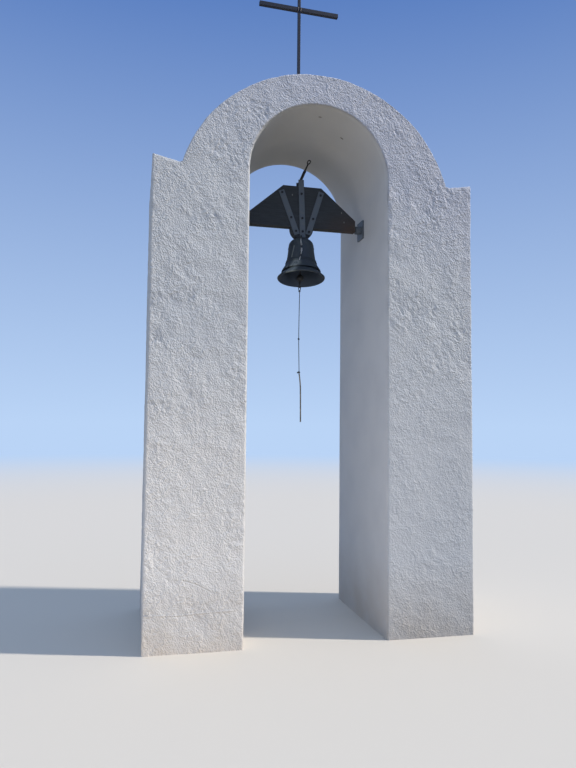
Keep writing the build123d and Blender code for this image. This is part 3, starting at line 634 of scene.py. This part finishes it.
bell_skin, tree = new_material("dark_patinated_bell_metal")
place = add(tree, "TexCoord", output="Object")
runs = add(tree, "Mapping", {"Vector": place, "Scale": (1, 1, 0.25)})
streaks = add(tree, "TexNoise", {"Vector": runs, "Scale": 28.0, "Detail": 6.0, "Roughness": 0.6})
green = add(tree, "MapRange", {"Value": streaks, "From Min": 0.50, "From Max": 0.66,
                               "To Max": 0.40})
colour = add(tree, "Mix", {0: green, 6: linear("#3D464F"), 7: linear("#55615F")}, output=2,
             data_type="RGBA")
# Painted sky light: inside the mouth the metal is bluer than outside.
out = add(tree, "VectorMath", {0: place, 1: BELL_MIDDLE}, operation="SUBTRACT")
normal = add(tree, "TexCoord", output="Normal")
facing = add(tree, "VectorMath", {0: out, 1: normal}, "Value", operation="DOT_PRODUCT")
outside = add(tree, "MapRange", {"Value": facing, "From Min": 0.0, "From Max": 0.02})
colour = add(tree, "Mix", {0: outside, 6: linear("#3B4758"), 7: colour}, output=2, data_type="RGBA")
flakes = add(tree, "TexNoise", {"Vector": runs, "Scale": 38.0, "Detail": 4.0, "Roughness": 0.6})
limed = add(tree, "MapRange", {"Value": flakes, "From Min": 0.27, "From Max": 0.50})
limed = add(tree, "Math", {0: limed, 1: outside}, operation="MULTIPLY")
for start, end, half_width, weight in LIME_MARKS:
    mark = stroke(tree, place, start, end, half_width)
    mark = add(tree, "Math", {0: mark, 1: weight}, operation="MULTIPLY")
    mark = add(tree, "Math", {0: mark, 1: limed}, operation="MULTIPLY")
    colour = add(tree, "Mix", {0: mark, 6: colour, 7: linear("#A7B0AE")}, output=2,
                 data_type="RGBA")
# The cast skin is uneven over 6 mm.
casting = add(tree, "TexNoise", {"Vector": place, "Scale": 180.0, "Detail": 4.0})
bump = add(tree, "Bump", {"Height": casting, "Strength": 0.3, "Distance": 0.0012})
shader = add(tree, "BsdfPrincipled", {"Base Color": colour, "Roughness": 0.62, "Metallic": 0.12,
                                      "Normal": bump})
add(tree, "OutputMaterial", {"Surface": shader})
dress(bell_skin, "bell")


# Clapper: a forged rod with a ball, hung on a pin in the fork of the crown
# bolt. Both are bare iron, dark with rust.
rusted_iron = painted_iron("dark_rusted_iron", "#25272A", "#3F342E", 0.4, 0.6)
dress(rusted_iron, "clapper", "crown_bolt")


# Chain: welded links over the front of the bell, each turned a quarter from
# the next. Some are painted near white as glints of light, the rest are dark.
CHAIN_ROUTE = ((-0.0070, -0.0505, 3.0420), (-0.0208, -0.0969, 3.0147), (-0.0290, -0.1150, 2.9800),
               (-0.0215, -0.1250, 2.9440), (-0.0240, -0.1320, 2.9120), (-0.0275, -0.1400, 2.8820),
               (-0.0370, -0.1500, 2.8550), (-0.0470, -0.1605, 2.8180))
LINK_LENGTH, LINK_WIDTH, LINK_WIRE = 0.034, 0.0105, 0.0036
LINK_PITCH = LINK_LENGTH - 2 * LINK_WIRE
LINK_STEPS, LINK_SIDES = 28, 8
GLINT_LINKS = (0.2, 0.3, 0.5, 1.0, 0.7, 0.1, 1.0, 1.0, 0.1, 1.0)


def spline_points(name, route):
    """Points along the NURBS spline whose control points are the route."""
    curve = bpy.data.curves.new(name, "CURVE")
    curve.dimensions = "3D"
    line = curve.splines.new("NURBS")
    line.points.add(len(route) - 1)
    for point, place in zip(line.points, route):
        point.co = (*place, 1)
    line.order_u = 3
    line.use_endpoint_u = True
    line.resolution_u = 40
    holder = bpy.data.objects.new(name, curve)
    scene.collection.objects.link(holder)
    bpy.context.view_layer.update()
    mesh = bpy.data.meshes.new_from_object(holder)
    found = np.empty(len(mesh.vertices) * 3, np.float32)
    mesh.vertices.foreach_get("co", found)
    bpy.data.objects.remove(holder)
    bpy.data.meshes.remove(mesh)
    return found.reshape(-1, 3).astype(float)


def resample(points, step):
    """Points about a step apart along a line, and their running lengths."""
    run = np.concatenate([[0], np.cumsum(np.linalg.norm(np.diff(points, axis=0), axis=1))])
    spots = np.linspace(0, run[-1], max(2, round(run[-1] / step) + 1))
    return np.stack([np.interp(spots, run, points[:, k]) for k in range(3)], axis=1), spots


zinc, tree = new_material("galvanised_chain")
place = add(tree, "TexCoord", output="Object")
# Blotches in the zinc, 7 mm apart.
spangle = add(tree, "TexNoise", {"Vector": place, "Scale": 140.0, "Detail": 3.0})
# Painted glints: links with a high share are drawn near white and smoother.
bright = add(tree, "Attribute", {}, output="Fac", attribute_name="bright")
mixed = add(tree, "Math", {0: spangle, 1: -0.5, 2: bright}, operation="MULTIPLY_ADD")
glint_and_spangle = add(tree, "MapRange", {"Value": mixed, "From Min": 0.15, "From Max": 0.65})
colour = add(tree, "Mix", {0: glint_and_spangle, 6: linear("#2F3439"), 7: linear("#F1F3F4")}, output=2,
             data_type="RGBA")
rough = add(tree, "MapRange", {"Value": glint_and_spangle, "To Min": 0.7, "To Max": 0.3})
shader = add(tree, "BsdfPrincipled", {"Base Color": colour, "Roughness": rough, "Metallic": 0.15})
add(tree, "OutputMaterial", {"Surface": shader})

joints, _ = resample(spline_points("chain_route", CHAIN_ROUTE), LINK_PITCH)
links = []
for index, (start, end) in enumerate(zip(joints, joints[1:])):
    sideways = np.cross(end - start, (0, -1, 0))
    flat = sideways if index % 2 else np.cross(sideways, end - start)
    links.append(oval_wire((start + end) / 2, end - start, flat, LINK_LENGTH, LINK_WIDTH, LINK_WIRE,
                           LINK_STEPS, LINK_SIDES))
brightness = np.repeat(np.resize(GLINT_LINKS, len(links)), LINK_STEPS * LINK_SIDES)
chain = surface("bell_chain_links", np.array(links), ends="joined", bright=brightness)
chain.data.materials.append(zinc)
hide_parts("bell_chain")
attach(chain, "bell_assembly")


# Pull rope: a thin cord hangs from a loop through the clapper's tail, with two
# knots, and a thicker pale rope is tied below the lower one as a handle. Both
# are laid ropes of three strands, weathered outdoors.
CORD_THICK = 0.006
GRIP_THICK = 0.011
ROPE_Y = -0.0105            # the routes give X and Z
CORD_ROUTE = ((-0.0078, 2.5880), (-0.0095, 2.4500), (-0.0120, 2.2110), (-0.0090, 2.0780),
              (-0.0060, 1.9450))
GRIP_ROUTE = ((-0.0060, 1.9364), (0.0052, 1.8700), (0.0075, 1.7300), (0.0090, 1.5490))
UPPER_KNOT, LOWER_KNOT = (-0.0120, 2.2110), (-0.0060, 1.9450)
KNOT_RADIUS = 0.0085
KNOT_STEPS, CORD_SIDES = 96, 12
TAIL_ROUTE = ((-0.0060, 1.9450), (-0.0120, 1.9470), (-0.0180, 1.9430), (-0.0205, 1.9370))
TAIL_THICK = 0.009
STRAND_LAY = 3.2            # rope diameters along the rope for one turn of a strand
STRAND_HOLLOW = 0.14        # depth of the hollows between strands, as a share of the radius
STRAND_SIDES = 24


def laid_rope(name, points, thick, step):
    """A rope of three strands along a line, and its centre line. Round the
    line the radius is thick / 2 * (1 - h + h * |cos(1.5 * (angle - turn))|),
    where h is STRAND_HOLLOW, and the turn grows by a circle in each lay, so
    the hollows wind."""
    centre, run = resample(points, step)
    angle = np.linspace(0, -2 * np.pi, STRAND_SIDES, endpoint=False)
    turn = 2 * np.pi * run[:, None] / (STRAND_LAY * thick)
    swell = np.abs(np.cos(1.5 * (angle - turn)))
    radius = thick / 2 * (1 - STRAND_HOLLOW + STRAND_HOLLOW * swell)
    tube = sweep_round(centre, radius, (0, 1, 0), closed=False)
    return surface(name, tube, ends="closed"), centre


def rope_finish(name, fibre, shadow):
    """Laid fibre rope: dull, with fine fibres that break the light, and dirt
    that darkens it in patches to the colour shadow."""
    made, tree = new_material(name)
    place = add(tree, "TexCoord", output="Object")
    # Fibres 1 mm apart, coarser than they are, and dirt in patches of 22 mm.
    fine = add(tree, "TexNoise", {"Vector": place, "Scale": 900.0, "Detail": 2.0})
    patches = add(tree, "TexNoise", {"Vector": place, "Scale": 45.0, "Detail": 3.0})
    dirt = add(tree, "MapRange", {"Value": patches, "From Min": 0.35, "From Max": 0.7})
    colour = add(tree, "Mix", {0: dirt, 6: linear(fibre), 7: linear(shadow)}, output=2,
                 data_type="RGBA")
    bump = add(tree, "Bump", {"Height": fine, "Strength": 0.5, "Distance": 0.0004})
    shader = add(tree, "BsdfPrincipled", {"Base Color": colour, "Roughness": 0.9, "Normal": bump})
    add(tree, "OutputMaterial", {"Surface": shader})
    return made


dark_cord = rope_finish("weathered_dark_cord", "#545A64", "#35383E")
taped_cord = rope_finish("black_taped_cord_end", "#25272A", "#18191B")
pale_rope = rope_finish("weathered_pale_rope", "#A89F90", "#6E675C")


def knot(name, x, z, node):
    """A knot drawn tight: the cord winds twice round a ring while it goes
    three times up and down, over and under itself."""
    turn = np.linspace(0, 2 * np.pi, KNOT_STEPS, endpoint=False)
    room = KNOT_RADIUS - CORD_THICK / 2
    wide = room * (0.68 + 0.32 * np.cos(3 * turn))
    high = 0.8 * room * np.sin(3 * turn)
    line = np.stack([wide * np.cos(2 * turn), wide * np.sin(2 * turn), high], axis=1)
    radius = np.full((KNOT_STEPS, CORD_SIDES), CORD_THICK / 2)
    tube = sweep_round(line, radius, line, closed=True) + (x, ROPE_Y, z)
    made = surface(name, tube, ends="joined")
    made.data.materials.append(dark_cord)
    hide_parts(node)
    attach(made, "rope")
    return made


dress(dark_cord, "rope_loop")
knots = [knot("upper_rope_knot", *UPPER_KNOT, "rope_upper_knot"),
         knot("lower_rope_knot", *LOWER_KNOT, "rope_lower_knot")]

tail_line = spline_points("tail_route", [(x, ROPE_Y, z) for x, z in TAIL_ROUTE])
tail_line, _ = resample(tail_line, 0.001)
tail_radius = np.full((len(tail_line), CORD_SIDES), TAIL_THICK / 2)
knot_tail = surface("knot_tail", sweep_round(tail_line, tail_radius, (0, 1, 0), closed=False),
                    ends="closed")
knot_tail.data.materials.append(taped_cord)
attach(knot_tail, "rope")
knots.append(knot_tail)

cord_line = spline_points("cord_route", [(x, ROPE_Y, z) for x, z in CORD_ROUTE])
pull_cord, cord_centre = laid_rope("pull_cord", cord_line, CORD_THICK, 0.0022)
pull_cord.data.materials.append(dark_cord)
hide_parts("rope_upper", "rope_middle")
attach(pull_cord, "rope")

grip_line = spline_points("grip_route", [(x, ROPE_Y, z) for x, z in GRIP_ROUTE])
grip_rope, grip_centre = laid_rope("grip_rope", grip_line, GRIP_THICK, 0.003)
grip_rope.data.materials.append(pale_rope)
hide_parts("rope_grip")
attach(grip_rope, "rope")


# Stage: a pale floor that fades into an even sky, and a sun high on the right
# that grazes the front. The floor throws back less light than its colour
# would, and most before the left pier, whose foot it lights.
SKY_HIGH, SKY_LOW = "#4872BA", "#BAD4F6"
FLOOR_HALF = 80
FADE_FROM, FADE_TO = 7.0, 30.0      # metres from the arch
BRIGHT_SPOT = (-1.7, -1.9, 0.0)
TOWARDS_SUN = (0.78, -0.21, 0.72)

floor = bpy.data.objects.new("floor", bpy.data.meshes.new("floor"))
corners = [(x * FLOOR_HALF, y * FLOOR_HALF, 0) for x, y in ((-1, -1), (1, -1), (1, 1), (-1, 1))]
floor.data.from_pydata(corners, [], [(0, 1, 2, 3)])
scene.collection.objects.link(floor)
pale, tree = new_material("pale_floor")
place = add(tree, "TexCoord", output="Object")
distance = add(tree, "VectorMath", {0: place}, "Value", operation="LENGTH")
far = add(tree, "MapRange", {"Value": distance, "From Min": FADE_FROM, "From Max": FADE_TO},
          interpolation_type="SMOOTHSTEP")
seen = add(tree, "LightPath", output="Is Camera Ray")
fade = add(tree, "Math", {0: far, 1: seen}, operation="MULTIPLY")
spread = add(tree, "VectorMath", {0: place, 1: BRIGHT_SPOT}, "Value", operation="DISTANCE")
spread = add(tree, "MapRange", {"Value": spread, "From Min": 3.0, "From Max": 1.1},
             interpolation_type="SMOOTHSTEP")
cast = add(tree, "Mix", {0: spread, 6: linear("#7E7461"), 7: linear("#FFEFD8")}, output=2,
           data_type="RGBA")
ground = add(tree, "Mix", {0: seen, 6: cast, 7: linear("#DAD5CD")}, output=2, data_type="RGBA")
near_floor = add(tree, "BsdfPrincipled", {"Base Color": ground, "Roughness": 0.9})
far_floor = add(tree, "Emission", {"Color": linear(SKY_LOW), "Strength": 1.0})
mixed = add(tree, "MixShader", {0: fade, 1: near_floor, 2: far_floor})
add(tree, "OutputMaterial", {"Surface": mixed})
floor.data.materials.append(pale)

sun = bpy.data.objects.new("sun", bpy.data.lights.new("sun", "SUN"))
sun.data.energy = 3.1
sun.data.color = linear("#FFF6E8")[:3]
sun.data.angle = np.radians(2)
sun.matrix_world = Vector(TOWARDS_SUN).to_track_quat("Z", "Y").to_matrix().to_4x4()
scene.collection.objects.link(sun)

scene.world = bpy.data.worlds.new("sky")
scene.world.use_nodes = True
tree = scene.world.node_tree
tree.nodes.clear()
direction = add(tree, "TexCoord", output="Generated")
height = add(tree, "SeparateXYZ", {"Vector": direction}, output="Z")
climb = add(tree, "MapRange", {"Value": height, "From Min": 0.0, "From Max": 0.62})
sky = add(tree, "Mix", {0: climb, 6: linear(SKY_LOW), 7: linear(SKY_HIGH)}, output=2,
          data_type="RGBA")
paths = add(tree, "LightPath").node
direct = add(tree, "Math", {0: paths.outputs["Is Camera Ray"], 1: paths.outputs["Is Glossy Ray"]},
             operation="MAXIMUM")
shown = add(tree, "Background", {"Color": sky, "Strength": 1.0})
lighting = add(tree, "Background", {"Color": linear("#B4CAEB"), "Strength": 0.76})
mixed = add(tree, "MixShader", {0: direct, 1: lighting, 2: shown})
add(tree, "OutputWorld", {"Surface": mixed})

scene.view_settings.view_transform = "Standard"
